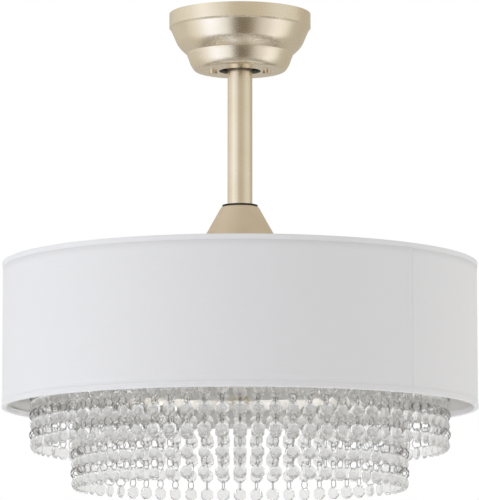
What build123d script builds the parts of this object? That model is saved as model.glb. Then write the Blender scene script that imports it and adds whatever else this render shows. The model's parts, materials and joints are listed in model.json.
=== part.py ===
from build123d import *
import math
import os

os.makedirs("parts", exist_ok=True)

# A ceiling fan inside a crystal chandelier. A canopy and a ball hanger sit at the ceiling, a
# downrod with a cone cover carries a drum shade, and the shade holds a five-blade fan, four lamps
# and two tiers of octagon crystal strands that hang below its lower edge.
# Millimetres. The origin is the middle of the ceiling plane, +Z is up, and the fan hangs below.

# Fits
slide_gap = 0.05
skin_gap = 0.1
track_gap = 0.06
seat_gap = 0.2
open_gap = 0.4
overrun = 5.0

# Canopy
canopy_radius = 76.2
canopy_depth = 62.0
canopy_wall = 1.2
canopy_hole_radius = 22.4
canopy_band_height = 15.0
bowl_shares = ((0.978, 0.274), (0.949, 0.35), (0.913, 0.455), (0.886, 0.526), (0.8425, 0.597), (0.786, 0.666), (0.751, 0.702))
foot_shares = ((0.744, 0.737), (0.722, 0.806), (0.701, 0.877), (0.668, 0.948), (0.645, 0.981), (0.612, 1.0))
canopy_screw_radius = 2.0
canopy_screw_circle = 29.0
canopy_screw_head_radius = 4.2
canopy_screw_head_height = 2.4

# Hanger bracket, the ball cup and the seat liner
plate_length = 124.0
plate_thickness = 2.0
plate_edge = 2.0
box_screw_spacing = 79.4
box_slot_length = 14.7
box_slot_width = 5.2
wire_hole_radius = 8.0
wire_hole_offset = 15.0
leg_width = 24.0
leg_thickness = 2.0
flange_thickness = 2.0
flange_radius = 36.0
ball_radius = 25.0
ball_drop = 36.0
cup_thickness = 2.0
liner_thickness = 1.8
zone_top_share = 0.1
zone_bottom_share = 0.64
tab_thickness = 3.0
tab_height = 3.5
tab_bite = 2.0
ball_slot_width = 6.6
ball_slot_depth = 4.0

# Remote receiver
receiver_length = 40.0
receiver_depth = 20.0
receiver_height = 30.0
receiver_corner = 2.0
receiver_drop = 9.0

# Hanger ball fastening
ball_top_share = 0.64
ball_bottom_share = 0.74
ball_pin_radius = 3.0
ball_pin_rise = 6.0
ball_pin_inset = 2.5
ball_screw_radius = 2.5
ball_screw_length = 8.0
ball_screw_rise = 9.0

# Downrod, its coupling and the cone cover
rod_radius = 13.35
rod_wall = 2.3
rod_above_ball = 4.0
shade_top_drop = 272.4
coupling_wall = 3.5
coupling_height = 50.0
coupling_floor = 10.4
coupling_flange_thickness = 4.4
coupling_flange_radius = 35.0
clevis_radius = 3.0
clevis_head_radius = 4.5
clevis_head_height = 2.5
clevis_rise = 27.0
clevis_tail = 7.0
clip_wire_radius = 0.9
clip_length = 16.0
clip_bend_share = 0.45
grub_radius = 3.0
grub_length = 7.0
grub_rise = 40.0
flange_bolt_radius = 2.5
flange_bolt_circle = 27.0
flange_bolt_count = 4
flange_bolt_head_radius = 4.25
flange_bolt_head_height = 3.0
flange_nut_flats = 8.0
flange_nut_height = 4.0
cone_height = 62.4
cone_wall = 1.5
cone_top_radius = 20.0
cone_base_radius = 54.8
cone_rounding = 3.0
seal_radius = 19.0
seal_thickness = 2.0

# Drum shade
shade_radius = 254.0
shade_height = 154.6
hem_height = 5.5
hem_thickness = 0.5
fabric_thickness = 0.7
lining_thickness = 1.0
frame_ring_depth = 4.5
frame_ring_wall = 2.0
spider_radius = 58.0
spider_thickness = 3.0
spider_arm_width = 14.0
spider_arm_count = 4

# Motor
motor_gap = 8.6
motor_height = 38.0
shell_wall = 3.0
rim_wall = 2.6
shaft_radius = 8.0
shaft_bore_radius = 5.1
lock_nut_flats = 24.0
lock_nut_height = 6.0
spacer_radius = 11.0
shell_eye_radius = 12.5
bearing_width = 7.0
ball_track_radius = 12.9
bearing_ball_radius = 2.2
bearing_ball_count = 8
inner_race_radius = 11.3
outer_race_bore_radius = 14.5
outer_race_radius = 17.8
hub_wall = 3.2
stack_height = 15.0
stator_radius = 52.6
stator_hub_radius = 30.0
tooth_count = 16
tooth_width = 4.0
tooth_tip_depth = 3.0
tooth_tip_width = 13.0
winding_build = 3.0
winding_gap = 0.2
magnet_thickness = 5.9
magnet_count = 16
magnet_angle = 20.0
air_gap = 0.8

# Blades
blade_count = 5
blade_radius = 225.0
blade_thickness = 2.6
blade_pitch = 16.0
foot_width = 28.0
foot_thickness = 3.0
foot_reach = 24.0
blade_root_width = 60.0
blade_tip_width = 88.0
blade_end_share = 0.8
blade_shoulder_share = 0.25
blade_root_radius = 104.0
clamp_reach = 16.0
clamp_thickness = 3.0
blade_screw_radius = 2.0
blade_screw_spread = 7.0
blade_screw_head_radius = 4.0
blade_screw_head_height = 2.5

# Light kit
pan_gap = 18.0
pan_radius = 68.0
pan_wall = 2.0
pan_rim_height = 6.0
pan_nut_flats = 24.0
pan_nut_height = 7.0
shaft_tail = 3.0
lamp_count = 4
lamp_drop = 22.0
lamp_bracket_radius = 26.0
lamp_bracket_width = 22.0
lamp_bracket_wall = 2.0
lamp_bracket_tail = 12.0
holder_radius = 14.0
holder_length = 38.0
holder_bore_depth = 26.0
base_radius = 13.0
base_length = 30.0
globe_radius = 22.5
globe_neck_radius = 12.6
globe_length = 52.0

# Crystal frame
row_rise = 1.6
hoop_height = 10.4
hoop_wall = 1.5
hoop_hole_edge = 2.4
hoop_hole_radius = 1.0
spoke_width = 12.0
spoke_thickness = 3.0
spoke_count = 4
frame_hub_radius = 32.0
drop_pipe_wall = 1.0
frame_nut_flats = 17.0
frame_nut_height = 6.0
finial_length = 22.0
finial_radius = 11.0
finial_bore_share = 0.33
finial_shares = ((0.5, 0.25), (0.8, 0.6))

# Crystal strands
outer_tier_radius = 219.0
outer_strand_count = 76
outer_row_count = 3
inner_tier_radius = 175.0
inner_strand_count = 60
inner_row_count = 5
bead_size = 14.0
bead_thickness = 6.5
bead_table_share = 0.5
bead_hole_radius = 0.9
bead_hole_edge = 2.03
ring_radius = 5.0
ring_wire_radius = 0.45
bead_play = 0.2
hoop_play = 0.3

# Levels, all worked out from the sizes above
liner_inner = ball_radius + seat_gap
liner_outer = liner_inner + liner_thickness
cup_inner = liner_outer + seat_gap
cup_outer = cup_inner + cup_thickness
leg_inner = cup_inner + open_gap
leg_outer = leg_inner + leg_thickness
canopy_floor = -canopy_depth + canopy_wall
ball_z = -ball_drop
cup_top = ball_z - ball_radius * zone_top_share
cup_bottom = ball_z - cup_outer * zone_bottom_share
spider_top = -shade_top_drop
spider_bottom = spider_top - spider_thickness
coupling_top = spider_top + coupling_height
rod_top = ball_z + ball_radius * ball_top_share + rod_above_ball
rod_bottom = spider_top + coupling_floor
coupling_bore = rod_radius + slide_gap
coupling_radius = coupling_bore + coupling_wall
shade_bottom = spider_top - shade_height
fabric_outer = shade_radius - hem_thickness - skin_gap
fabric_inner = fabric_outer - fabric_thickness
lining_outer = fabric_inner - skin_gap
lining_inner = lining_outer - lining_thickness
frame_ring_outer = lining_inner - skin_gap
frame_ring_inner = frame_ring_outer - frame_ring_wall
hem_inner = fabric_outer + skin_gap
fold_outer = frame_ring_inner - skin_gap
fold_inner = fold_outer - hem_thickness
wall_top = spider_top - hem_thickness - skin_gap
wall_bottom = shade_bottom + hem_thickness + skin_gap
motor_top = spider_bottom - motor_gap
motor_bottom = motor_top - motor_height
motor_middle = (motor_top + motor_bottom) / 2
shaft_bore = shaft_radius + slide_gap
race_top = motor_top - shell_wall
race_bottom = motor_bottom + shell_wall
magnet_inner = stator_radius + air_gap
magnet_outer = magnet_inner + magnet_thickness
rim_inner = magnet_outer + skin_gap
motor_radius = rim_inner + rim_wall
pan_top = motor_bottom - pan_gap
pan_under = pan_top - pan_wall
shaft_bottom = pan_under - pan_nut_height - shaft_tail
lamp_z = pan_under - lamp_drop
hole_reach = bead_size / 2 - bead_hole_edge
bead_step = hole_reach + ring_radius + bead_play
row_pitch = 2 * bead_step
first_row_z = shade_bottom + row_rise
hoop_hole_z = first_row_z + bead_step + ring_radius + hoop_play
hoop_bottom = hoop_hole_z - hoop_hole_edge
hoop_top = hoop_bottom + hoop_height
spoke_top = hoop_top + spoke_thickness
drop_pipe_radius = shaft_bore_radius - slide_gap
finial_bottom = hoop_top - finial_length


def turned(count, first=0):
    """Rotations that place equal copies round the vertical axis."""
    return [Rot(0, 0, first + 360 * i / count) for i in range(count)]


def tube(outer, inner, top, bottom):
    """An upright ring between two levels."""
    return Pos(0, 0, bottom) * extrude(Circle(outer) - Circle(inner), top - bottom)


def rod(radius, top, bottom):
    """An upright solid cylinder between two levels."""
    return Pos(0, 0, bottom) * extrude(Circle(radius), top - bottom)


def nut(flats, bore, top, height):
    """An upright hexagon nut below a level."""
    plan = RegularPolygon(flats / 2, 6, major_radius=False) - Circle(bore)
    return Pos(0, 0, top - height) * extrude(plan, height)


def along_x(radius, start, end, z):
    """A level cylinder that runs outwards along +X."""
    return Pos(start, 0, z) * Rot(0, 90, 0) * Cylinder(radius, end - start, align=(Align.CENTER, Align.CENTER, Align.MIN))


def along_y(radius, start, end, z):
    """A level cylinder that runs along +Y."""
    return Rot(0, 0, 90) * along_x(radius, start, end, z)


def spun(edges):
    """The solid that an outline in the XZ plane sweeps round the vertical axis."""
    return revolve(make_face(Plane.XZ * edges), Axis.Z)


def zone(outer, inner, centre, top, bottom):
    """A slice of a spherical shell between two levels."""
    shell = Pos(0, 0, centre) * (Sphere(outer) - Sphere(inner))
    return shell & rod(outer + overrun, top, bottom)


def block(x_low, x_high, y_low, y_high, z_low, z_high):
    """A box between six faces."""
    size = (x_high - x_low, y_high - y_low, z_high - z_low)
    return Pos(x_low, y_low, z_low) * Box(*size, align=(Align.MIN, Align.MIN, Align.MIN))


def save(name, shape):
    """Writes one piece, or one set of equal pieces, as a STEP file."""
    solids = shape.solids()
    whole = solids[0] if len(solids) == 1 else Compound(solids)
    whole.label = name
    export_step(whole, os.path.join("parts", name + ".step"))


def save_set(name, pieces):
    """Writes several separate solids as one file."""
    solids = [solid for piece in pieces for solid in piece.solids()]
    whole = Compound(solids)
    whole.label = name
    export_step(whole, os.path.join("parts", name + ".step"), write_pcurves=False)


# Hanger bracket
plate_half_width = leg_outer + plate_edge
bracket = block(-plate_length / 2, plate_length / 2, -plate_half_width, plate_half_width, -plate_thickness, 0)
slot_tool = extrude(SlotOverall(box_slot_length, box_slot_width), 2 * plate_thickness, both=True)
for side in (-1, 1):
    bracket -= Pos(side * box_screw_spacing / 2, 0, 0) * slot_tool
    bracket -= Pos(0, side * wire_hole_offset, 0) * rod(wire_hole_radius, overrun, -plate_thickness - overrun)
leg = block(-leg_width / 2, leg_width / 2, leg_inner, leg_outer, canopy_floor, 0)
cup = zone(cup_outer, cup_inner, ball_z, cup_top, cup_bottom)
flange = tube(flange_radius, canopy_hole_radius, canopy_floor + flange_thickness, canopy_floor)
tab_inner = ball_radius - tab_bite
tab = block(tab_inner, cup_inner + cup_thickness / 2, -tab_thickness / 2, tab_thickness / 2, cup_top - tab_height, cup_top)
bracket = bracket + leg + mirror(leg, Plane.XZ) + cup + flange + tab
canopy_screw_hole = rod(canopy_screw_radius + slide_gap, canopy_floor + flange_thickness + overrun, -canopy_depth - overrun)
for side in (-1, 1):
    bracket -= Pos(side * canopy_screw_circle, 0, 0) * canopy_screw_hole
save("hanger_bracket", bracket)

# Canopy


def canopy_solid(inset, top):
    """The canopy's outer shape, or the same shape drawn in by its wall."""
    band = canopy_radius - inset
    bowl = [(canopy_radius * r - inset, -canopy_depth * z + inset) for r, z in bowl_shares]
    foot = [(canopy_radius * r - inset, -canopy_depth * z + inset) for r, z in foot_shares]
    start = (0, top)
    line = Polyline(start, (band, top), (band, -canopy_band_height + inset), bowl[0])
    line += Spline(*bowl)
    line += Line(bowl[-1], foot[0])
    line += Spline(*foot)
    line += Polyline(foot[-1], (0, -canopy_depth + inset), start)
    return spun(line)


canopy = canopy_solid(0, 0) - canopy_solid(canopy_wall, overrun)
canopy -= rod(canopy_hole_radius, 0, -canopy_depth - overrun)
for side in (-1, 1):
    canopy -= Pos(side * canopy_screw_circle, 0, 0) * canopy_screw_hole
save("canopy", canopy)

screw_head = rod(canopy_screw_head_radius, -canopy_depth, -canopy_depth - canopy_screw_head_height)
screw_head -= block(-canopy_screw_head_radius, canopy_screw_head_radius, -canopy_screw_radius / 4, canopy_screw_radius / 4,
                    -canopy_depth - canopy_screw_head_height, -canopy_depth - canopy_screw_head_height / 2)
canopy_screw = screw_head + rod(canopy_screw_radius, canopy_floor + flange_thickness + canopy_screw_radius, -canopy_depth)
save_set("canopy_screws", [Pos(side * canopy_screw_circle, 0, 0) * canopy_screw for side in (-1, 1)])

# Remote receiver, on the outer face of one bracket leg
receiver = block(-receiver_length / 2, receiver_length / 2, leg_outer, leg_outer + receiver_depth,
                 -receiver_drop - receiver_height, -receiver_drop)
receiver = fillet(receiver.edges().filter_by(Axis.Y), receiver_corner)
save("receiver_box", receiver)

# Seat liner, hanger ball and the pin and screw that hold the ball to the rod
ball_slot = block(ball_radius - ball_slot_depth, cup_outer + overrun, -ball_slot_width / 2, ball_slot_width / 2,
                  ball_z - cup_outer, ball_z + cup_outer)
liner_top = ball_z - ball_radius * zone_top_share / 2
liner_bottom = ball_z - liner_outer * zone_bottom_share
liner = zone(liner_outer, liner_inner, ball_z, liner_top, liner_bottom) - ball_slot
save("ball_seat_liner", liner)

ball = Pos(0, 0, ball_z) * Sphere(ball_radius)
ball &= rod(ball_radius + overrun, ball_z + ball_radius * ball_top_share, ball_z - ball_radius * ball_bottom_share)
ball -= rod(rod_radius + slide_gap, 0, ball_z - 2 * ball_radius)
ball -= ball_slot
ball_pin_z = ball_z + ball_pin_rise
pin_bore = along_y(ball_pin_radius + slide_gap, -ball_radius - overrun, ball_radius + overrun, ball_pin_z)
ball -= pin_bore
ball_screw_z = ball_z + ball_screw_rise
ball_screw_start = -rod_radius - slide_gap - ball_screw_length
ball -= along_x(ball_screw_radius + slide_gap, -ball_radius - overrun, 0, ball_screw_z)
save("hanger_ball", ball)

ball_pin_reach = ball_radius - ball_pin_inset
save("hanger_pin", along_y(ball_pin_radius, -ball_pin_reach, ball_pin_reach, ball_pin_z))
ball_screw = along_x(ball_screw_radius, ball_screw_start, -rod_radius - slide_gap, ball_screw_z)
ball_screw -= along_x(ball_screw_radius / 2, ball_screw_start - overrun, ball_screw_start + ball_screw_length / 2, ball_screw_z)
save("ball_set_screw", ball_screw)

# Downrod
clevis_z = spider_top + clevis_rise
downrod = tube(rod_radius, rod_radius - rod_wall, rod_top, rod_bottom) - pin_bore
downrod -= along_y(clevis_radius + slide_gap, -coupling_radius, coupling_radius, clevis_z)
save("downrod", downrod)

# Coupling on the motor shaft, with its clevis pin, clip and set screws
grub_z = spider_top + grub_rise
coupling = tube(coupling_radius, coupling_bore, coupling_top, rod_bottom)
coupling += tube(coupling_radius, shaft_bore, rod_bottom, spider_top)
coupling += tube(coupling_flange_radius, shaft_bore, spider_top + coupling_flange_thickness, spider_top)
coupling -= along_y(clevis_radius + slide_gap, -coupling_radius - overrun, coupling_radius + overrun, clevis_z)
for spot in turned(2):
    coupling -= spot * along_x(grub_radius + slide_gap, rod_radius, coupling_radius + overrun, grub_z)
bolt_hole = Pos(flange_bolt_circle, 0, 0) * rod(flange_bolt_radius + slide_gap, spider_top + coupling_height, motor_top)
for spot in turned(flange_bolt_count, 180 / flange_bolt_count):
    coupling -= spot * bolt_hole
save("motor_coupling", coupling)

clevis_end = coupling_radius + clevis_tail
clevis = along_y(clevis_radius, -coupling_radius - clevis_head_height, clevis_end, clevis_z)
clevis += along_y(clevis_head_radius, -coupling_radius - clevis_head_height, -coupling_radius, clevis_z)
clip_y = coupling_radius + clevis_tail / 2
clevis -= Pos(0, clip_y, 0) * along_x(clip_wire_radius + slide_gap, -clevis_radius - overrun, clevis_radius + overrun, clevis_z)
save("coupling_pin", clevis)

clip_rise = clevis_radius + clip_wire_radius + slide_gap
clip_top = clevis_z + clip_rise
clip_path = FilletPolyline(
    (-clip_length / 2, clip_y, clevis_z),
    (clip_length / 2, clip_y, clevis_z),
    (clip_length / 2, clip_y, clip_top),
    (-clip_length / 4, clip_y, clip_top),
    radius=clip_rise * clip_bend_share)
clip_section = Plane(origin=(-clip_length / 2, clip_y, clevis_z), z_dir=(1, 0, 0)) * Circle(clip_wire_radius)
save("coupling_clip", sweep(clip_section, path=clip_path))

grub = along_x(grub_radius, rod_radius + slide_gap, rod_radius + slide_gap + grub_length, grub_z)
grub_mouth = rod_radius + grub_length
grub -= along_x(grub_radius / 2, grub_mouth - grub_length / 2, grub_mouth + overrun, grub_z)
save_set("coupling_set_screws", [spot * grub for spot in turned(2)])

bolt_top = spider_top + coupling_flange_thickness
bolt_head = nut(2 * flange_bolt_head_radius, flange_bolt_radius / 2, bolt_top + flange_bolt_head_height, flange_bolt_head_height)
bolt = Pos(flange_bolt_circle, 0, 0) * (bolt_head + rod(flange_bolt_radius, bolt_top + flange_bolt_radius / 2,
                                                       spider_bottom - flange_nut_height))
save_set("coupling_bolts", [spot * bolt for spot in turned(flange_bolt_count, 180 / flange_bolt_count)])
bolt_nut = Pos(flange_bolt_circle, 0, 0) * nut(flange_nut_flats, flange_bolt_radius + slide_gap, spider_bottom, flange_nut_height)
save_set("coupling_nuts", [spot * bolt_nut for spot in turned(flange_bolt_count, 180 / flange_bolt_count)])

# Cone cover and the rubber ring on it
cone_top = spider_top + cone_height
cone_outer = Pos(0, 0, spider_top + cone_height / 2) * Cone(cone_base_radius, cone_top_radius, cone_height)
cone_outer = fillet(cone_outer.edges().group_by(Axis.Z)[-1], cone_rounding)
cone_slope = (cone_base_radius - cone_top_radius) / cone_height
cone_side = cone_wall * math.sqrt(1 + cone_slope ** 2)
hollow_height = cone_height - cone_wall
hollow_top_radius = cone_top_radius + cone_slope * cone_wall - cone_side
cone_hollow = Pos(0, 0, spider_top + hollow_height / 2) * Cone(cone_base_radius - cone_side, hollow_top_radius, hollow_height)
cone = cone_outer - cone_hollow - rod(rod_radius + open_gap, cone_top + overrun, rod_bottom)
save("cone_cover", cone)
save("cone_seal", tube(seal_radius, rod_radius + slide_gap, cone_top + seal_thickness, cone_top))

# Shade spider, frame rings, lining, fabric and hems
spider_plan = Circle(spider_radius)
arm_reach = frame_ring_outer
for spot in turned(spider_arm_count):
    spider_plan += spot * Pos(arm_reach / 2, 0) * Rectangle(arm_reach, spider_arm_width)
spider_plan &= Circle(arm_reach)
spider_plan -= Circle(shaft_bore)
spider = Pos(0, 0, spider_bottom) * extrude(spider_plan, spider_thickness)
for spot in turned(flange_bolt_count, 180 / flange_bolt_count):
    spider -= spot * bolt_hole
save("shade_spider", spider)

save("shade_top_ring", tube(frame_ring_outer, frame_ring_inner, spider_bottom, spider_bottom - frame_ring_depth))
save("shade_bottom_ring", tube(frame_ring_outer, frame_ring_inner, wall_bottom + frame_ring_depth, wall_bottom))
save("shade_lining", tube(lining_outer, lining_inner, wall_top, wall_bottom))
save("shade_fabric", tube(fabric_outer, fabric_inner, wall_top, wall_bottom))

# The top hem folds over the wall, the bottom hem round the wall and the lower ring
top_hem = tube(shade_radius, hem_inner, spider_top, spider_top - hem_height)
top_hem += tube(shade_radius, lining_inner, spider_top, spider_top - hem_thickness)
save("shade_top_hem", top_hem)
bottom_hem = tube(shade_radius, hem_inner, shade_bottom + hem_height, shade_bottom)
bottom_hem += tube(shade_radius, fold_inner, shade_bottom + hem_thickness, shade_bottom)
bottom_hem += tube(fold_outer, fold_inner, shade_bottom + hem_height, shade_bottom)
save("shade_bottom_hem", bottom_hem)

# Motor shaft with its nut and spacers
save("motor_shaft", tube(shaft_radius, shaft_bore_radius, rod_bottom, shaft_bottom))
save("motor_lock_nut", nut(lock_nut_flats, shaft_bore, spider_bottom, lock_nut_height))
upper_spacer = tube(spacer_radius, shaft_bore, spider_bottom - lock_nut_height, race_top)
lower_spacer = tube(spacer_radius, shaft_bore, race_bottom, pan_top)
save_set("shaft_spacers", [upper_spacer, lower_spacer])

# Stator core and its windings
stack_top = motor_middle + stack_height / 2
stack_bottom = motor_middle - stack_height / 2
core_plan = Circle(stator_hub_radius)
tip_ring = Circle(stator_radius) - Circle(stator_radius - tooth_tip_depth)
for spot in turned(tooth_count):
    core_plan += spot * Pos(stator_radius / 2, 0) * Rectangle(stator_radius, tooth_width)
    core_plan += tip_ring & (spot * Pos(stator_radius, 0) * Rectangle(stator_radius / 2, tooth_tip_width))
core_plan = (core_plan & Circle(stator_radius)) - Circle(shaft_bore)
save("stator_core", Pos(0, 0, stack_bottom) * extrude(core_plan, stack_height))

core_half = tooth_width / 2 + winding_gap
core_rise = stack_height / 2 + winding_gap
winding_half = core_half + winding_build
winding_start = stator_hub_radius + winding_gap + winding_build
winding_end = math.sqrt((stator_radius - tooth_tip_depth - winding_gap) ** 2 - winding_half ** 2)
winding_reach = winding_end - winding_start
winding_middle = (winding_start + winding_end) / 2
winding_outer = Box(winding_reach, 2 * winding_half, 2 * (core_rise + winding_build))
winding_inner = Box(winding_reach + overrun, 2 * core_half, 2 * core_rise)
winding = Pos(winding_middle, 0, motor_middle) * (winding_outer - winding_inner)
save_set("stator_windings", [spot * winding for spot in turned(tooth_count)])

# Two ball bearings, one under the motor's top and one over its bottom
track = Torus(ball_track_radius, bearing_ball_radius + track_gap)
inner_races = []
outer_races = []
bearing_balls = []
for race_face in (race_top, race_bottom + bearing_width):
    race_middle = race_face - bearing_width / 2
    groove = Pos(0, 0, race_middle) * track
    inner_races.append(tube(inner_race_radius, shaft_bore, race_face, race_face - bearing_width) - groove)
    outer_races.append(tube(outer_race_radius, outer_race_bore_radius, race_face, race_face - bearing_width) - groove)
    for spot in turned(bearing_ball_count):
        bearing_balls.append(spot * Pos(ball_track_radius, 0, race_middle) * Sphere(bearing_ball_radius))
save_set("bearing_inner_races", inner_races)
save_set("bearing_outer_races", outer_races)
save_set("bearing_balls", bearing_balls)

# Rotor shells, which clamp the blade feet between their flanges, and the magnets
clamp_radius = motor_radius + clamp_reach
foot_top = motor_middle + foot_thickness / 2
foot_bottom = foot_top - foot_thickness
pocket = outer_race_radius + slide_gap
screw_x = motor_radius + clamp_reach / 2
screw_holes = [spot * Pos(screw_x, side * blade_screw_spread, 0) for spot in turned(blade_count) for side in (-1, 1)]
screw_tool = rod(blade_screw_radius + slide_gap, foot_top + clamp_thickness + overrun, foot_bottom - clamp_thickness - overrun)
top_shell = tube(motor_radius, shell_eye_radius, motor_top, race_top)
top_shell += tube(pocket + hub_wall, pocket, race_top, race_top - bearing_width)
top_shell += tube(motor_radius, rim_inner, race_top, foot_top)
top_shell += tube(clamp_radius, rim_inner, foot_top + clamp_thickness, foot_top)
bottom_shell = tube(motor_radius, shell_eye_radius, race_bottom, motor_bottom)
bottom_shell += tube(pocket + hub_wall, pocket, race_bottom + bearing_width, race_bottom)
bottom_shell += tube(motor_radius, rim_inner, foot_top, race_bottom)
bottom_shell += tube(clamp_radius, rim_inner, foot_bottom, foot_bottom - clamp_thickness)
for spot in screw_holes:
    top_shell -= spot * screw_tool
    bottom_shell -= spot * screw_tool
save("rotor_top_shell", top_shell)
save("rotor_bottom_shell", bottom_shell)

magnet_plan = Circle(magnet_outer) - Circle(magnet_inner)
half_angle = math.radians(magnet_angle / 2)
wedge_width = 2 * magnet_outer * math.tan(half_angle)
wedge = make_face(Polyline((0, 0), (2 * magnet_outer, -wedge_width), (2 * magnet_outer, wedge_width), close=True))
magnet = Pos(0, 0, stack_bottom) * extrude(magnet_plan & wedge, stack_height)
save_set("rotor_magnets", [spot * magnet for spot in turned(magnet_count)])

# Blades, each a twisted plate on a flat foot
foot_start = motor_radius + slide_gap
foot_end = foot_start + foot_reach


def blade_section(radius, width, thickness, pitch):
    """An upright cross-section of a blade at one distance from the axis."""
    plane = Plane(origin=(radius, 0, motor_middle), x_dir=(0, 1, 0), z_dir=(1, 0, 0))
    return plane * Rot(0, 0, pitch) * Rectangle(width, thickness)


blade = loft([
    blade_section(foot_end, foot_width, foot_thickness, 0),
    blade_section(blade_root_radius, blade_root_width, blade_thickness, blade_pitch),
    blade_section(blade_radius - blade_tip_width * blade_shoulder_share, blade_tip_width, blade_thickness, blade_pitch),
    blade_section(blade_radius, blade_tip_width * blade_end_share, blade_thickness, blade_pitch),
], ruled=True)
blade += block(foot_start, foot_end, -foot_width / 2, foot_width / 2, foot_bottom, foot_top)
for side in (-1, 1):
    blade -= Pos(screw_x, side * blade_screw_spread, 0) * screw_tool
for number, spot in enumerate(turned(blade_count), 1):
    save("blade_" + str(number), spot * blade)

clamp_under = foot_bottom - clamp_thickness
blade_screw = rod(blade_screw_radius, foot_top + clamp_thickness, clamp_under)
blade_screw += rod(blade_screw_head_radius, clamp_under, clamp_under - blade_screw_head_height)
save_set("blade_screws", [spot * blade_screw for spot in screw_holes])

# Light pan, lamp brackets, holders and bulbs
light_pan = tube(pan_radius, shaft_bore, pan_top, pan_under)
light_pan += tube(pan_radius, pan_radius - pan_wall, pan_top, pan_top - pan_rim_height)
save("light_pan", light_pan)
save("pan_nut", nut(pan_nut_flats, shaft_bore, pan_under, pan_nut_height))

bracket_start = lamp_bracket_radius
holder_start = bracket_start + lamp_bracket_wall
holder_end = holder_start + holder_length
lamp_bracket = block(bracket_start, holder_start, -lamp_bracket_width / 2, lamp_bracket_width / 2,
                     lamp_z - lamp_bracket_tail, pan_under)
holder = along_x(holder_radius, holder_start, holder_end, lamp_z)
holder -= along_x(base_radius + slide_gap, holder_end - holder_bore_depth, holder_end + overrun, lamp_z)
base_start = holder_end - holder_bore_depth
base_end = base_start + base_length
bulb_base = along_x(base_radius, base_start, base_end, lamp_z)
globe_centre = base_end + globe_length - globe_radius
globe = Pos(globe_centre, 0, lamp_z) * Sphere(globe_radius)
neck = Pos((base_end + globe_centre) / 2, 0, lamp_z) * Rot(0, 90, 0) * Cone(
    globe_neck_radius, globe_radius, globe_centre - base_end)
globe += neck
lamps = turned(lamp_count, 180 / lamp_count)
save_set("lamp_brackets", [spot * lamp_bracket for spot in lamps])
save_set("lamp_holders", [spot * holder for spot in lamps])
save_set("bulb_bases", [spot * bulb_base for spot in lamps])
save_set("bulb_globes", [spot * globe for spot in lamps])

# Drop pipe, crystal frame, nut and finial
drop_pipe_bottom = hoop_top - finial_length * finial_bore_share
save("drop_pipe", tube(drop_pipe_radius, drop_pipe_radius - drop_pipe_wall, motor_bottom, drop_pipe_bottom))
hub_bore = drop_pipe_radius + slide_gap
hoop_half = hoop_wall / 2
frame_plan = Circle(frame_hub_radius)
frame_reach = outer_tier_radius + hoop_half
for spot in turned(spoke_count):
    frame_plan += spot * Pos(frame_reach / 2, 0) * Rectangle(frame_reach, spoke_width)
frame_plan = (frame_plan & Circle(frame_reach)) - Circle(hub_bore)
save("crystal_frame", Pos(0, 0, hoop_top) * extrude(frame_plan, spoke_thickness))
save("frame_nut", nut(frame_nut_flats, hub_bore, spoke_top + frame_nut_height, frame_nut_height))
finial_line = Polyline((0, finial_bottom), (0, hoop_top), (finial_radius, hoop_top))
finial_side = [(finial_radius * r, hoop_top - finial_length * drop) for r, drop in finial_shares]
finial_line += Spline((finial_radius, hoop_top), *finial_side, (0, finial_bottom))
finial = spun(finial_line) - rod(hub_bore, hoop_top + overrun, drop_pipe_bottom - slide_gap)
save("finial", finial)


def hoop(radius, strand_count):
    """A flat hoop with one small hole for each strand."""
    band = tube(radius + hoop_half, radius - hoop_half, hoop_top, hoop_bottom)
    drill = along_x(hoop_hole_radius, radius - hoop_wall, radius + hoop_wall, hoop_hole_z)
    return band - [spot * drill for spot in turned(strand_count)]


save("outer_hoop", hoop(outer_tier_radius, outer_strand_count))
save("inner_hoop", hoop(inner_tier_radius, inner_strand_count))

# Crystal beads and their wire rings


def octagon(across, x):
    """The corners of an upright octagon that faces along X, flat at its top and bottom."""
    corner = across / 2 / math.cos(math.pi / 8)
    angles = [math.pi * (2 * i + 1) / 8 for i in range(8)]
    return [(x, corner * math.cos(a), corner * math.sin(a)) for a in angles]


table_size = bead_size * bead_table_share
table_x = bead_thickness / 2
bead = ConvexPolyhedron(octagon(table_size, -table_x) + octagon(bead_size, 0) + octagon(table_size, table_x))
for side in (-1, 1):
    bead -= along_x(bead_hole_radius, -bead_thickness, bead_thickness, side * hole_reach)
bead = bead.solid()
link = (Rot(90, 0, 0) * Torus(ring_radius, ring_wire_radius)).solid()


def tier(radius, strand_count, row_count):
    """The beads and rings of every strand of one tier, each ring above its bead."""
    beads = []
    rings = []
    for spot in turned(strand_count):
        for row in range(row_count):
            bead_z = first_row_z - row * row_pitch
            beads.append(spot * Pos(radius, 0, bead_z) * bead)
            rings.append(spot * Pos(radius, 0, bead_z + bead_step) * link)
    return beads, rings


outer_beads, outer_rings = tier(outer_tier_radius, outer_strand_count, outer_row_count)
inner_beads, inner_rings = tier(inner_tier_radius, inner_strand_count, inner_row_count)
save_set("outer_tier_beads", outer_beads)
save_set("outer_tier_rings", outer_rings)
save_set("inner_tier_beads", inner_beads)
save_set("inner_tier_rings", inner_rings)
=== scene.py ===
import json
import math

import bmesh
import bpy
from mathutils import Matrix, Vector


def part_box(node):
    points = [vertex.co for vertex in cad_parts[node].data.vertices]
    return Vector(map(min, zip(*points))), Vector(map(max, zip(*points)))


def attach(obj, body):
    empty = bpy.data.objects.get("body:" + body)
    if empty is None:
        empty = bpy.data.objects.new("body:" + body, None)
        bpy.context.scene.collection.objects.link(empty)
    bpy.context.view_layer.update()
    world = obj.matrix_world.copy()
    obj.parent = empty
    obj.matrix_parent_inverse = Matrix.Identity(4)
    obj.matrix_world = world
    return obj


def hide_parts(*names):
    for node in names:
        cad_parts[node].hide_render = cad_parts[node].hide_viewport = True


# A ceiling fan inside a crystal chandelier: champagne canopy, downrod and cone, a white fabric
# drum shade, and two tiers of octagon crystals on nickel wire rings below it.

MM = 0.001

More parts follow.
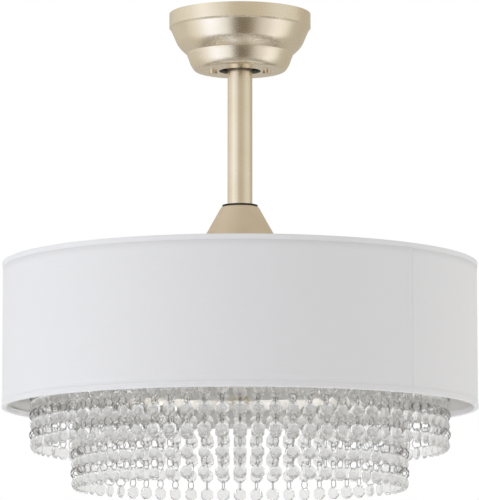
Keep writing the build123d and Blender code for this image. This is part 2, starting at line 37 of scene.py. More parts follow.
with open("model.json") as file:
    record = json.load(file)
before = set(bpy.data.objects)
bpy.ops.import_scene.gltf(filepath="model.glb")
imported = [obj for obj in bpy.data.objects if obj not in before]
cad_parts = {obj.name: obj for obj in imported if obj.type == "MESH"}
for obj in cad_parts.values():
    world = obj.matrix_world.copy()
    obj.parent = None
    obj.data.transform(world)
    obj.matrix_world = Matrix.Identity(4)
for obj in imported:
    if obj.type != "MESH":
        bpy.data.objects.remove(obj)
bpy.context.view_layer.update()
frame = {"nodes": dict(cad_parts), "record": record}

# The shade, in metres: its cloth and hems stand in the places of the solids
SHADE_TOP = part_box("shade_fabric")[1][2]
SHADE_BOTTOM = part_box("shade_fabric")[0][2]
FABRIC_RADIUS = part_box("shade_fabric")[1][0]
SHADE_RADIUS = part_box("shade_top_hem")[1][0]
HEM_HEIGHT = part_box("shade_bottom_hem")[1][2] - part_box("shade_bottom_hem")[0][2]
HEM_THICKNESS = 0.5 * MM
TOP_FOLD = 2.4 * MM
BOTTOM_FOLD = 5.1 * MM
SEAM_ANGLE = math.radians(-48.3)
SEAM_LAP = 12 * MM
SEAM_STEP = 0.01
CLOTH_THICKNESS = 0.2 * MM
CLOTH_BASE = FABRIC_RADIUS - CLOTH_THICKNESS * 1.05
LAYER_SHARE = 0.9
SHADE_STEPS = 256
CLOTH_ROWS = 12

# A hem's outline in shares. The taper: in from the skin towards the cloth, and of the hem's height.
# The fold and the leg's tip: in from a face and away from an edge, in thicknesses.
HEM_TAPER = ((1.0, 0.99), (0.99, 1.0), (0.97, 0.99), (0.72, 0.8), (0.45, 0.6), (0.2, 0.4), (0.0, 0.2))
HEM_FOLD = ((0.0, 1.2), (0.2, 0.4), (0.9, 0.0))
LEG_TIP = ((0.0, 1.0), (0.3, 0.2), (0.8, 0.0), (1.0, 0.5))
TIP_CLEARANCE = 0.02 * MM

# The crystals: beads and rings alternate down each strand. A tier has a radius, strands and rows.
FIRST_ROW = -425.4 * MM
ROW_PITCH = 20.34 * MM
LINK_RISE = 10.17 * MM
BEAD_SIZE = 14 * MM
BEAD_THICKNESS = 6.5 * MM
BEAD_HOLE = 0.9 * MM
HOLE_REACH = 4.97 * MM
TABLE_SHARE = 0.54
HALF_GIRDLE = 0.5 * MM
DRILL_SIDES = 8
RING_RADIUS = 5 * MM
RING_WIRE = 0.34 * MM
RING_STEPS = 20
WIRE_SIDES = 6
STRAND_TWIST = math.radians(24)
BEAD_SWAY = math.radians(6)
HANG_SEED = 3
TIERS = (("outer", 219 * MM, 76, 3), ("inner", 175 * MM, 60, 5))

# The cloth's threads. A wave texture of scale 1 repeats every 0.314 m.
THREAD_PITCH = 0.9 * MM
WAVE_REPEAT = 0.314


def stand(name, data):
    """A new object in the scene."""
    made = bpy.data.objects.new(name, data)
    bpy.context.scene.collection.objects.link(made)
    return made


# Materials


def linear(code):
    """An sRGB hex colour as linear RGBA."""
    parts = [int(code[i:i + 2], 16) / 255 for i in (1, 3, 5)]
    return [c / 12.92 if c <= 0.04045 else ((c + 0.055) / 1.055) ** 2.4 for c in parts] + [1.0]


def add(tree, kind, settings=None, values=None, links=None):
    """Adds a node with its settings, input values and incoming links."""
    node = tree.nodes.new(kind)
    for name, value in (settings or {}).items():
        setattr(node, name, value)
    for name, value in (values or {}).items():
        node.inputs[name].default_value = value
    for name, socket in (links or {}).items():
        tree.links.new(socket, node.inputs[name])
    return node


def surface(name, **values):
    """A new material with its Principled shader and its object coordinates."""
    material = bpy.data.materials.new(name)
    material.use_nodes = True
    tree = material.node_tree
    shader = tree.nodes["Principled BSDF"]
    for key, value in values.items():
        shader.inputs[key.replace("_", " ")].default_value = value
    place = add(tree, "ShaderNodeTexCoord")
    return material, tree, shader, place.outputs["Object"]


def either(tree, first, second):
    """The greater of two values."""
    return add(tree, "ShaderNodeMath", {"operation": "MAXIMUM"}, links={0: first, 1: second}).outputs[0]


def blend(tree, share, first, second):
    """Two shaders mixed by a socket's share."""
    return add(tree, "ShaderNodeMixShader", links={"Fac": share, 1: first, 2: second}).outputs[0]


def finish_with(tree, result):
    """Gives the material its final shader."""
    tree.links.new(result, tree.nodes["Material Output"].inputs["Surface"])


def two_tones(tree, shader, value, low, high, start, end):
    """Colours the shader by a value: the low tone up to the start, the high tone from the end."""
    ramp = add(tree, "ShaderNodeValToRGB", links={"Fac": value})
    ramp.color_ramp.elements[0].position = start
    ramp.color_ramp.elements[0].color = linear(low)
    ramp.color_ramp.elements[1].position = end
    ramp.color_ramp.elements[1].color = linear(high)
    tree.links.new(ramp.outputs[0], shader.inputs["Base Color"])


def relief(tree, shader, height, depth, strength=1.0):
    """A bump of a real depth."""
    bump = add(tree, "ShaderNodeBump", values={"Strength": strength, "Distance": depth}, links={"Height": height})
    tree.links.new(bump.outputs[0], shader.inputs["Normal"])


def grain(tree, shader, place, size, depth, roughness, spread, stretch=(1, 1, 1)):
    """A fine surface grain: a bump of a real depth, and a roughness that varies with it."""
    scaled = add(tree, "ShaderNodeMapping", values={"Scale": stretch}, links={"Vector": place})
    noise = add(tree, "ShaderNodeTexNoise", values={"Scale": 1 / size, "Detail": 3.0},
                links={"Vector": scaled.outputs[0]})
    relief(tree, shader, noise.outputs[0], depth)
    rough = add(tree, "ShaderNodeMapRange", values={"To Min": roughness - spread, "To Max": roughness + spread},
                links={"Value": noise.outputs[0]})
    tree.links.new(rough.outputs[0], shader.inputs["Roughness"])


def mottle(tree, shader, place, size, low, high):
    """A slow drift between two close colours."""
    noise = add(tree, "ShaderNodeTexNoise", values={"Scale": 1 / size, "Detail": 2.0}, links={"Vector": place})
    two_tones(tree, shader, noise.outputs[0], low, high, start=0.35, end=0.65)


def let_light_through(tree, shader, colour, share):
    """Lets a share of the light pass through, spread softly, as through cloth or thin plastic."""
    through = add(tree, "ShaderNodeBsdfTranslucent", values={"Color": linear(colour)})
    mix = add(tree, "ShaderNodeMixShader", values={"Fac": share}, links={1: shader.outputs[0], 2: through.outputs[0]})
    finish_with(tree, mix.outputs[0])


def satin_plate(name, low, high, roughness, depth=0.004 * MM, size=0.6 * MM):
    """Blasted and plated or lacquered metal: a soft satin that spreads every reflection a little."""
    material, tree, shader, place = surface(name, Metallic=1.0)
    mottle(tree, shader, place, 40 * MM, low, high)
    grain(tree, shader, place, size, depth, roughness, spread=0.04)
    return material


def zinc_plated_steel():
    """Passivated zinc on steel: bluish grey, with the faint cloudy bloom of the passivation."""
    material, tree, shader, place = surface("zinc plated steel", Metallic=1.0)
    mottle(tree, shader, place, 9 * MM, "#A9ADB3", "#C3C6CA")
    grain(tree, shader, place, 0.8 * MM, 0.01 * MM, roughness=0.36, spread=0.06)
    return material


def ground_steel():
    """Ground bearing steel: bright, with fine lines that run round the race."""
    material, tree, shader, place = surface("ground bearing steel", Metallic=1.0)
    mottle(tree, shader, place, 5 * MM, "#BFC1C5", "#CFD1D4")
    grain(tree, shader, place, 0.4 * MM, 0.003 * MM, roughness=0.2, spread=0.04, stretch=(1, 1, 6))
    return material


def moulded(name, low, high, roughness, size=0.9 * MM, depth=0.015 * MM, **values):
    """Moulded, lacquered, stoved or glazed: one even colour, over the faint grain that its making leaves."""
    material, tree, shader, place = surface(name, **values)
    mottle(tree, shader, place, 30 * MM, low, high)
    grain(tree, shader, place, size, depth, roughness, spread=0.05)
    return material


def woven_polyester(name, low, high):
    """Woven polyester for lampshades: a matt white cloth with a faint thread grid and a soft sheen.

    The real threads are about 0.3 mm apart. They are drawn at 0.9 mm, the finest that shows here.
    """
    material, tree, shader, _ = surface(name, Roughness=0.85, Sheen_Weight=0.15, Sheen_Roughness=0.5)
    shader.inputs["Specular IOR Level"].default_value = 0.25
    flat = add(tree, "ShaderNodeUVMap", {"uv_map": "cloth"}).outputs[0]
    warp, weft = [add(tree, "ShaderNodeTexWave", {"bands_direction": way, "wave_profile": "SIN"},
                      {"Scale": WAVE_REPEAT / THREAD_PITCH, "Distortion": 0.6, "Detail": 1.0}, {"Vector": flat})
                  for way in ("X", "Y")]
    weave = either(tree, warp.outputs["Fac"], weft.outputs["Fac"])
    slub_place = add(tree, "ShaderNodeMapping", values={"Scale": (8, 160, 1)}, links={"Vector": flat})
    slub = add(tree, "ShaderNodeTexNoise", values={"Scale": 6.0, "Detail": 3.0},
               links={"Vector": slub_place.outputs[0]})
    # The threads give a quarter of the tone over a base of 0.35, and the slubs 0.4 more
    tone = add(tree, "ShaderNodeMath", {"operation": "MULTIPLY_ADD"}, {1: 0.25, 2: 0.35}, {0: weave})
    mixed = add(tree, "ShaderNodeMath", {"operation": "MULTIPLY_ADD"}, {1: 0.4},
                {0: slub.outputs[0], 2: tone.outputs[0]})
    two_tones(tree, shader, mixed.outputs[0], low, high, start=0.2, end=0.9)
    relief(tree, shader, mixed.outputs[0], 0.06 * MM, strength=0.6)
    let_light_through(tree, shader, high, share=0.2)
    return material


def styrene_lining():
    """Calendered styrene sheet: smooth, milky, and thin enough to let some light through."""
    material, tree, shader, place = surface("calendered styrene lining")
    mottle(tree, shader, place, 60 * MM, "#ECECEA", "#F2F2F1")
    grain(tree, shader, place, 0.9 * MM, 0.006 * MM, roughness=0.42, spread=0.05)
    let_light_through(tree, shader, "#F4F3EF", share=0.6)
    return material


def crystal_glass():
    """Pressed and fire-polished crystal: clear but softly rippled, with glints where facets meet.

    Light on its way to what stands behind passes through it, so the shade's inside isn't left dark.
    """
    material, tree, shader, place = surface("fire polished crystal", Roughness=0.24, IOR=1.25)
    shader.inputs["Transmission Weight"].default_value = 0.87
    shader.inputs["Base Color"].default_value = linear("#E8E8E7")
    ripple = add(tree, "ShaderNodeTexNoise", values={"Scale": 1 / (7 * MM), "Detail": 1.0}, links={"Vector": place})
    relief(tree, shader, ripple.outputs[0], 0.15 * MM, strength=0.5)
    path = add(tree, "ShaderNodeLightPath")
    lighting = either(tree, path.outputs["Is Shadow Ray"], path.outputs["Is Diffuse Ray"])
    clear = add(tree, "ShaderNodeBsdfTransparent", values={"Color": linear("#F2F2F2")})
    finish_with(tree, blend(tree, lighting, shader.outputs[0], clear.outputs[0]))
    return material


def frosted_glass():
    """Acid-etched bulb glass: an even, soft white that hides what is inside."""
    material, tree, shader, place = surface("acid etched bulb glass", IOR=1.5)
    shader.inputs["Subsurface Weight"].default_value = 0.4
    shader.inputs["Subsurface Radius"].default_value = (0.01, 0.01, 0.01)
    mottle(tree, shader, place, 30 * MM, "#EFEDE7", "#F7F5F0")
    grain(tree, shader, place, 0.5 * MM, 0.006 * MM, roughness=0.45, spread=0.05)
    return material


finishes = {
    "champagne_metal": satin_plate("satin champagne plate", "#E1D3BC", "#E6D9C4", 0.27),
    "cone_satin": moulded("matt champagne lacquer", "#C9B89C", "#CEBDA2", 0.55, Metallic=0.3),
    "gold_frame": satin_plate("satin champagne lacquer", "#CEC6B7", "#D5CDBF", 0.34),
    # The hoops' and rings' enamel is white. It is drawn pale grey as painted shade, darkened to offset the fill lamps'
    # light on it.
    "white_frame": moulded("white stoved enamel darkened as painted shade", "#BDBAB4", "#C6C3BD", 0.4, size=2 * MM, depth=0.008 * MM),
    "zinc_steel": zinc_plated_steel(),
    "bearing_steel": ground_steel(),
    "seat_nylon": moulded("moulded black nylon", "#17181A", "#1E1F22", 0.5),
    "seal_rubber": moulded("moulded rubber", "#151515", "#1D1D1D", 0.75),
    "shade_fabric": woven_polyester("woven polyester shade cloth", "#D9D9DA", "#E2E2E3"),
    "shade_hem": woven_polyester("folded polyester hem", "#DBDBDC", "#E4E4E5"),
    "shade_lining": styrene_lining(),
    "core_steel": moulded("stamped core steel", "#55585D", "#62656A", 0.45, Metallic=1.0),
    "copper": moulded("enamelled copper wire", "#9A4F2C", "#AF6238", 0.3, Metallic=1.0),
    "magnet": moulded("pressed ferrite", "#242528", "#303135", 0.6),
    "motor_shell": satin_plate("die cast aluminium", "#BFC0C2", "#CBCCCE", 0.42, depth=0.02 * MM),
    "blade_plastic": moulded("moulded ABS", "#EDECE8", "#F3F2EF", 0.28, depth=0.006 * MM),
    "pan_enamel": moulded("baked white enamel", "#EFEFEC", "#F5F5F3", 0.25, size=2.5 * MM, depth=0.01 * MM),
    "lamp_ceramic": moulded("glazed porcelain", "#F0EEE6", "#F6F4EE", 0.15, size=6 * MM, depth=0.02 * MM),
    "lamp_brass": satin_plate("rolled brass lamp cap", "#C9B374", "#D8C48A", 0.28),
    "bulb_glass": frosted_glass(),
    "crystal": crystal_glass(),
    # The rings' nickel grey is darkened as a painted dark reflection. It stands for the dark room that the wire
    # mirrors.
    "ring_wire": satin_plate("nickel plated wire", "#6A6763", "#777470", 0.22, size=0.4 * MM),
}

slot_of = {part["node"]: part["material_slot"] for part in frame["record"]["subparts"]}
for name, node in frame["nodes"].items():
    node.data.materials.clear()
    node.data.materials.append(finishes[slot_of[name]])


# Shade


def piece(name, mesh, body, slot):
    """A finished mesh as a piece that rides on a body."""
    mesh.name = name
    made = stand(name, mesh)
    mesh.materials.clear()
    mesh.materials.append(finishes[slot])
    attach(made, body)
    return made


def outward_mesh(name, shape):
    """A mesh of the shape, with every face turned outward."""
    bmesh.ops.recalc_face_normals(shape, faces=shape.faces)
    mesh = bpy.data.meshes.new(name)
    shape.to_mesh(mesh)
    shape.free()
    return mesh


def band(profile, turns, rises, closed_profile, closed_ring):
    """A cloth band through rows of (radius, level, distance along the cloth), turned round the axis."""
    shape = bmesh.new()
    uv = shape.loops.layers.uv.new("cloth")
    rows = []
    for turn, rise in zip(turns, rises):
        cosine, sine = math.cos(turn), math.sin(turn)
        rows.append([shape.verts.new(((r + rise) * cosine, (r + rise) * sine, z)) for r, z, _ in profile])
    step = turns[1] - turns[0]
    count = len(profile)
    for i in range(len(rows) if closed_ring else len(rows) - 1):
        after = (i + 1) % len(rows)
        start = turns[i] * SHADE_RADIUS
        end = (turns[i] + step if after == 0 else turns[after]) * SHADE_RADIUS
        for j in range(count if closed_profile else count - 1):
            k = (j + 1) % count
            face = shape.faces.new((rows[i][j], rows[after][j], rows[after][k], rows[i][k]))
            face.smooth = True
            low, high = profile[j][2], profile[k][2]
            for loop, spot in zip(face.loops, ((start, low), (end, low), (end, high), (start, high))):
                loop[uv].uv = spot
    return outward_mesh("band", shape)


def lapped_cloth():
    """The shade's cloth, wound once round and glued over its own start."""
    lap = SEAM_LAP / SHADE_RADIUS
    end = SEAM_ANGLE + 2 * math.pi
    turns = [SEAM_ANGLE + 2 * math.pi * i / SHADE_STEPS for i in range(SHADE_STEPS - 2)]
    turns += [end - 2 * SEAM_STEP, end - SEAM_STEP, end, end + lap / 2, end + lap]
    rises = [0.0] * (len(turns) - 4) + [0.5 * CLOTH_THICKNESS] + [CLOTH_THICKNESS] * 3
    height = SHADE_TOP - SHADE_BOTTOM
    profile = [(CLOTH_BASE, SHADE_BOTTOM + height * i / CLOTH_ROWS, height * i / CLOTH_ROWS)
               for i in range(CLOTH_ROWS + 1)]
    return band(profile, turns, rises, False, False)


cloth = piece("shade_cloth", lapped_cloth(), "hanging_frame", "shade_fabric")
thick = cloth.modifiers.new("thickness", "SOLIDIFY")
thick.thickness = CLOTH_THICKNESS * LAYER_SHARE
thick.offset = -1.0
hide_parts("shade_fabric")


def hem_profile(edge, inward, fold, leg):
    """A band rolled over one edge of the shade: thinned out on the cloth, rounded at its folds.

    It comes down the outside, crosses the edge and goes up the inside by the height of its leg.
    """
    skin, inner, thin = SHADE_RADIUS, SHADE_RADIUS - fold, HEM_THICKNESS
    deep = SHADE_RADIUS - CLOTH_BASE - TIP_CLEARANCE
    rows = [(skin - across * deep, up * HEM_HEIGHT) for across, up in HEM_TAPER]
    rows += [(skin - across * thin, up * thin) for across, up in HEM_FOLD]
    rows += [(inner + across * thin, up * thin) for across, up in reversed(HEM_FOLD)]
    if leg:
        rows += [(inner + across * thin, leg - down * thin) for across, down in LEG_TIP]
    rows += [(inner + thin, thin), (skin - deep, thin)]
    length, profile = 0.0, []
    for i, (radius, rise) in enumerate(rows):
        length += math.dist(rows[i - 1], rows[i]) if i else 0.0
        profile.append((radius, edge + inward * rise, length))
    return profile


for name, edge, inward, fold, leg in (("top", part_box("shade_top_hem")[1][2], -1, TOP_FOLD, 0.0),
                                      ("bottom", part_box("shade_bottom_hem")[0][2], 1, BOTTOM_FOLD, HEM_HEIGHT)):
    turns = [2 * math.pi * i / SHADE_STEPS for i in range(SHADE_STEPS)]
    rolled = band(hem_profile(edge, inward, fold, leg), turns, [0.0] * SHADE_STEPS, True, True)
    hem = piece(f"shade_{name}_hem_band", rolled, "hanging_frame", "shade_hem")
    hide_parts(f"shade_{name}_hem")


# Crystals


def octagon(across, x, turn):
    """The corners of an upright octagon that faces along X, turned by a share of its side."""
    corner = across / 2 / math.cos(math.pi / 8)
    angles = [math.pi * (i + turn) / 4 for i in range(8)]
    return [(x, corner * math.cos(a), corner * math.sin(a)) for a in angles]


def bead_template():
    """One octagon bead: a table and sixteen facets on each side, a thin girdle and two holes."""
    shape = bmesh.new()
    table = BEAD_SIZE * TABLE_SHARE
    back_table, back_rim, front_rim, front_table = [
        [shape.verts.new(p) for p in octagon(across, x, turn)]
        for across, x, turn in ((table, -BEAD_THICKNESS / 2, 0.0), (BEAD_SIZE, -HALF_GIRDLE, 0.5),
                                (BEAD_SIZE, HALF_GIRDLE, 0.5), (table, BEAD_THICKNESS / 2, 0.0))]
    shape.faces.new(front_table)
    shape.faces.new(list(reversed(back_table)))
    for i in range(8):
        j = (i + 1) % 8
        shape.faces.new((front_rim[i], front_table[j], front_table[i]))
        shape.faces.new((front_rim[i], front_rim[j], front_table[j]))
        shape.faces.new((back_rim[i], back_table[i], back_table[j]))
        shape.faces.new((back_rim[i], back_table[j], back_rim[j]))
        shape.faces.new((back_rim[i], back_rim[j], front_rim[j], front_rim[i]))
    bead = stand("bead template", outward_mesh("bead template", shape))
    drills = bmesh.new()
    for side in (-1, 1):
        place = Matrix.Translation((0, 0, side * HOLE_REACH)) @ Matrix.Rotation(math.pi / 2, 4, "Y")
        bmesh.ops.create_cone(drills, cap_ends=True, segments=DRILL_SIDES, radius1=BEAD_HOLE, radius2=BEAD_HOLE,
                              depth=2 * BEAD_THICKNESS, matrix=place)
    drill_mesh = bpy.data.meshes.new("bead drill")
    drills.to_mesh(drill_mesh)
    drills.free()
    drill = stand("bead drill", drill_mesh)
    cut = bead.modifiers.new("holes", "BOOLEAN")
    cut.operation = "DIFFERENCE"
    cut.solver = "EXACT"
    cut.object = drill
    bpy.context.view_layer.update()
    drilled = bpy.data.meshes.new_from_object(bead.evaluated_get(bpy.context.evaluated_depsgraph_get()))
    bead.modifiers.remove(cut)
    bead.data = drilled
    bpy.data.objects.remove(drill)
    return bead


def ring_template():
    """One round wire ring that stands in the radial plane of its strand."""
    shape = bmesh.new()
    rows = []
    for i in range(RING_STEPS):
        turn = 2 * math.pi * i / RING_STEPS
        row = []
        for j in range(WIRE_SIDES):
            bend = 2 * math.pi * j / WIRE_SIDES
            reach = RING_RADIUS + RING_WIRE * math.cos(bend)
            spot = (reach * math.cos(turn), RING_WIRE * math.sin(bend), reach * math.sin(turn))
            row.append(shape.verts.new(spot))
        rows.append(row)
    for i in range(RING_STEPS):
        for j in range(WIRE_SIDES):
            after, beside = (i + 1) % RING_STEPS, (j + 1) % WIRE_SIDES
            face = shape.faces.new((rows[i][j], rows[after][j], rows[after][beside], rows[i][beside]))
            face.smooth = True
    return stand("ring template", outward_mesh("ring template", shape))


def tier_tree():
    """Geometry nodes that hang one small piece in every row of every strand of a tier."""
    tree = bpy.data.node_groups.new("crystal tier", "GeometryNodeTree")
    tree.is_modifier = True
    sockets = (("Tier radius", "Float"), ("Strands", "Int"), ("Rows", "Int"), ("Row pitch", "Float"),
               ("First row", "Float"), ("Strand twist", "Float"), ("Sway", "Float"), ("Seed", "Int"),
               ("Hung piece", "Object"), ("Finish", "Material"))
    tree.interface.new_socket("Geometry", in_out="INPUT", socket_type="NodeSocketGeometry")
    for label, kind in sockets:
        tree.interface.new_socket(label, in_out="INPUT", socket_type="NodeSocket" + kind)
    tree.interface.new_socket("Geometry", in_out="OUTPUT", socket_type="NodeSocketGeometry")
    given = add(tree, "NodeGroupInput").outputs

    def calculate(operation, first, second):
        """One sum on two numbers or sockets."""
        node = tree.nodes.new("ShaderNodeMath")
        node.operation = operation
        for slot, value in enumerate((first, second)):
            if isinstance(value, (int, float)):
                node.inputs[slot].default_value = value
            else:
                tree.links.new(value, node.inputs[slot])
        return node.outputs[0]

    index = add(tree, "GeometryNodeInputIndex").outputs[0]
    count = calculate("MULTIPLY", given["Strands"], given["Rows"])
    row = calculate("MODULO", index, given["Rows"])
    strand = calculate("FLOOR", calculate("DIVIDE", index, given["Rows"]), 0)
    turn = calculate("DIVIDE", calculate("MULTIPLY", strand, 2 * math.pi), given["Strands"])
    x = calculate("MULTIPLY", calculate("COSINE", turn, 0), given["Tier radius"])
    y = calculate("MULTIPLY", calculate("SINE", turn, 0), given["Tier radius"])
    z = calculate("SUBTRACT", given["First row"], calculate("MULTIPLY", row, given["Row pitch"]))
    place = add(tree, "ShaderNodeCombineXYZ", links={"X": x, "Y": y, "Z": z})
    points = add(tree, "GeometryNodePoints", links={"Count": count, "Position": place.outputs[0]})

    def spread(most, identity):
        """A random angle within a limit either way, the same for every point with one identity."""
        node = add(tree, "FunctionNodeRandomValue", {"data_type": "FLOAT"})
        floats = [socket for socket in node.inputs if socket.type == "VALUE" and socket.enabled]
        tree.links.new(calculate("MULTIPLY", most, -1), floats[0])
        tree.links.new(most, floats[1])
        tree.links.new(identity, node.inputs["ID"])
        tree.links.new(given["Seed"], node.inputs["Seed"])
        return [socket for socket in node.outputs if socket.enabled][0]

    twist = calculate("ADD", spread(given["Strand twist"], strand), spread(given["Sway"], index))
    angle = calculate("ADD", turn, twist)
    facing = add(tree, "ShaderNodeCombineXYZ", links={"Z": angle})
    hung = add(tree, "GeometryNodeObjectInfo", links={"Object": given["Hung piece"]})
    placed = add(tree, "GeometryNodeInstanceOnPoints",
                 links={"Points": points.outputs[0], "Instance": hung.outputs["Geometry"],
                        "Rotation": facing.outputs[0]})
    real = add(tree, "GeometryNodeRealizeInstances", links={"Geometry": placed.outputs[0]})
    finished = add(tree, "GeometryNodeSetMaterial", links={"Geometry": real.outputs[0], "Material": given["Finish"]})
    add(tree, "NodeGroupOutput", links={"Geometry": finished.outputs[0]})
    return tree


def hang_tier(name, tree, template, slot, values):
    """One tier of beads or rings, made by the tree and baked to a plain mesh."""
    host = stand(name + " host", bpy.data.meshes.new(name + " host"))
    maker = host.modifiers.new("tier", "NODES")
    maker.node_group = tree
    named = {item.name: item.identifier for item in tree.interface.items_tree if item.in_out == "INPUT"}
    values = dict(values, **{"Hung piece": template, "Finish": finishes[slot]})
    for label, value in values.items():
        maker[named[label]] = value
    bpy.context.view_layer.update()
    mesh = bpy.data.meshes.new_from_object(host.evaluated_get(bpy.context.evaluated_depsgraph_get()))
    host.modifiers.remove(maker)
    bpy.data.objects.remove(host)
    return piece(name, mesh, "hanging_frame", slot)


tree = tier_tree()
bead = bead_template()
ring = ring_template()
for tier, radius, strands, rows in TIERS:
    sizes = {"Tier radius": radius, "Strands": strands, "Rows": rows, "Row pitch": ROW_PITCH,
             "Strand twist": STRAND_TWIST, "Seed": HANG_SEED}
    beads = hang_tier(f"{tier}_crystals", tree, bead, "crystal",
                      dict(sizes, **{"First row": FIRST_ROW, "Sway": BEAD_SWAY}))
    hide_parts(f"{tier}_tier_beads")
    rings = hang_tier(f"{tier}_wire_rings", tree, ring, "ring_wire",
                      dict(sizes, **{"First row": FIRST_ROW + LINK_RISE, "Sway": 0.0}))
    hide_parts(f"{tier}_tier_rings")
for template in (bead, ring):
    bpy.data.objects.remove(template)


# Studio


# The cards round the fan that its metal mirrors: degrees to the right of the camera, and the tone there
LOW_CARDS = ((-180, "#95938D"), (-115, "#A09F9A"), (-90, "#BCBDBC"), (-60, "#D8E0F3"), (-30, "#CBD1DA"),
             (-4, "#524B3C"), (13, "#5E5647"), (50, "#B5B6B7"), (75, "#D0D3DA"), (92, "#C4C8C8"),
             (106, "#97958E"), (180, "#95938D"))
HIGH_CARDS = ((-180, "#B5B1A4"), (-95, "#DDDDDB"), (-60, "#F4F9FF"), (-34, "#DDE0E2"), (-6, "#C0BCAF"),
              (25, "#C1BDB1"), (66, "#D6D8D6"), (95, "#D2D3CC"), (123, "#B5B0A4"), (180, "#B5B1A4"))
LOW_GLOW = 2.0
HIGH_GLOW = 1.3
SOFT_GLOW = 0.9

FLOOR_REACH = 24.0
FLOOR_LEVEL = -12.0

# The lamps: each softbox has a place, an aim, a size, its watts and a colour
FAN_MIDDLE = (0, 0, -0.3)
SOFTBOXES = (("left softbox", (-2.6, -1.5, -1.1), FAN_MIDDLE, (2.6, 3.0), 51, "#F4F7FF"),
             ("right softbox", (2.95, -0.3, -1.2), FAN_MIDDLE, (2.6, 3.4), 26, "#FFFCF5"),
             ("floor bounce", (0, 1.4, -2.2), (0, 1.4, 0), (5.0, 4.0), 24, "#FFFFFF"))
FILL_COUNT = 8
FILL_RADIUS = 0.15
FILL_LEVEL = -0.41
FILL_SIZE = (0.06, 0.012)
FILL_WATTS = 0.045
FILL_SPREAD = math.radians(50)

# The camera, placed by the photograph's perspective
SENSOR_WIDTH = 36.0
FOCAL_LENGTH = 288.5
CAMERA_PLACE = (-0.0005, -4.256, -0.8113)
CAMERA_TILT = 7.43


def card_ring(tree, turn, cards, glow):
    """One ring of lit cards round the fan, each fading into the next."""
    tones = add(tree, "ShaderNodeValToRGB", links={"Fac": turn.outputs[0]})
    tones.color_ramp.interpolation = "EASE"
    stops = tones.color_ramp.elements
    for i, (degrees, tone) in enumerate(cards):
        place = (degrees + 180) / 360
        stop = stops[0] if i == 0 else stops[-1] if i == len(cards) - 1 else stops.new(place)
        stop.position = place
        stop.color = linear(tone)
    return add(tree, "ShaderNodeBackground", values={"Strength": glow}, links={"Color": tones.outputs[0]})


def studio_world():
    """A white studio: pure white behind the object and through the glass, and cards for its metal to mirror."""
    world = bpy.data.worlds.new("white studio")
    bpy.context.scene.world = world
    world.use_nodes = True
    tree = world.node_tree
    tree.nodes.clear()
    path = add(tree, "ShaderNodeLightPath")
    seen = either(tree, path.outputs["Is Camera Ray"], path.outputs["Is Transmission Ray"])
    parts = add(tree, "ShaderNodeSeparateXYZ", links={"Vector": add(tree, "ShaderNodeTexCoord").outputs["Generated"]})
    ahead = add(tree, "ShaderNodeMath", {"operation": "MULTIPLY"}, {1: -1.0}, {0: parts.outputs["Y"]})
    heading = add(tree, "ShaderNodeMath", {"operation": "ARCTAN2"}, links={0: parts.outputs["X"], 1: ahead.outputs[0]})
    turn = add(tree, "ShaderNodeMapRange", values={"From Min": -math.pi, "From Max": math.pi},
               links={"Value": heading.outputs[0]})
    height = add(tree, "ShaderNodeMapRange", values={"From Min": -0.35, "From Max": 0.1},
                 links={"Value": parts.outputs["Z"]})
    low = card_ring(tree, turn, LOW_CARDS, LOW_GLOW)
    high = card_ring(tree, turn, HIGH_CARDS, HIGH_GLOW)
    mirrored = blend(tree, height.outputs[0], low.outputs[0], high.outputs[0])
    soft = add(tree, "ShaderNodeBackground", values={"Color": linear("#FDFCFC"), "Strength": SOFT_GLOW})
    white = add(tree, "ShaderNodeBackground", values={"Color": (1, 1, 1, 1), "Strength": 1.0})
    unseen = blend(tree, path.outputs["Is Glossy Ray"], soft.outputs[0], mirrored)
    add(tree, "ShaderNodeOutputWorld", links={"Surface": blend(tree, seen, unseen, white.outputs[0])})


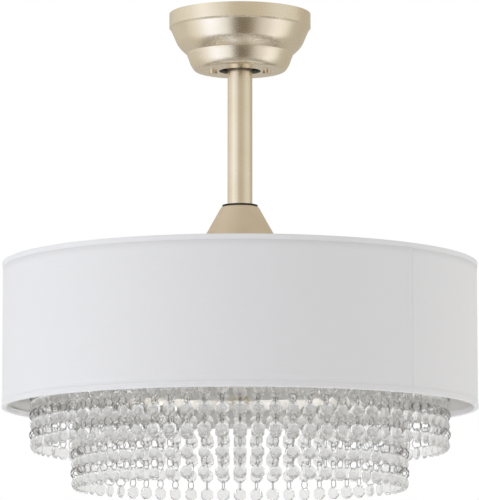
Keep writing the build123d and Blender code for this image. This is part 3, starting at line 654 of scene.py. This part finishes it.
def pale_floor():
    """A white studio floor far below the hanging fan, so that it can be seen from underneath too."""
    mesh = bpy.data.meshes.new("floor")
    corners = [(x * FLOOR_REACH, y * FLOOR_REACH, FLOOR_LEVEL) for x, y in ((-1, -1), (1, -1), (1, 1), (-1, 1))]
    mesh.from_pydata(corners, [], [(0, 1, 2, 3)])
    floor = stand("floor", mesh)
    material, tree, shader, place = surface("painted white floor", Roughness=0.8)
    mottle(tree, shader, place, 0.4, "#F2F2F2", "#F6F6F6")
    path = add(tree, "ShaderNodeLightPath")
    seen = either(tree, path.outputs["Is Camera Ray"], path.outputs["Is Transmission Ray"])
    white = add(tree, "ShaderNodeEmission", values={"Color": (1, 1, 1, 1), "Strength": 1.0})
    open_studio = add(tree, "ShaderNodeBsdfTransparent")
    plain = blend(tree, seen, shader.outputs[0], white.outputs[0])
    finish_with(tree, blend(tree, path.outputs["Is Glossy Ray"], plain, open_studio.outputs[0]))
    mesh.materials.append(material)


def softbox(name, place, aim, size, watts, colour):
    """A large soft lamp turned to a point. The metal mirrors the studio's cards in its place."""
    lamp = bpy.data.lights.new(name, "AREA")
    lamp.shape = "RECTANGLE"
    lamp.size, lamp.size_y = size
    lamp.energy = watts
    lamp.color = linear(colour)[:3]
    made = stand(name, lamp)
    made.location = place
    made.rotation_euler = (Vector(aim) - Vector(place)).to_track_quat("-Z", "Y").to_euler()
    made.visible_glossy = False
    return made


def inner_fills():
    """Small lamps inside the shade that stand in for the daylight its cloth lets in."""
    for i in range(FILL_COUNT):
        turn = 2 * math.pi * i / FILL_COUNT
        place = (FILL_RADIUS * math.cos(turn), FILL_RADIUS * math.sin(turn), FILL_LEVEL)
        across = (-place[0], -place[1], FILL_LEVEL)
        fill = softbox(f"inner fill {i + 1}", place, across, FILL_SIZE, FILL_WATTS, "#FFFFFF")
        fill.data.spread = FILL_SPREAD
        fill.visible_camera = False
        fill.visible_transmission = False


studio_world()
pale_floor()
for lamp in SOFTBOXES:
    softbox(*lamp)
inner_fills()

lens = bpy.data.cameras.new("camera")
lens.sensor_width = SENSOR_WIDTH
lens.lens = FOCAL_LENGTH
camera = stand("camera", lens)
camera.location = CAMERA_PLACE
camera.rotation_euler = (math.radians(90 + CAMERA_TILT), 0, 0)
bpy.context.scene.camera = camera

bpy.context.scene.view_settings.view_transform = "Standard"
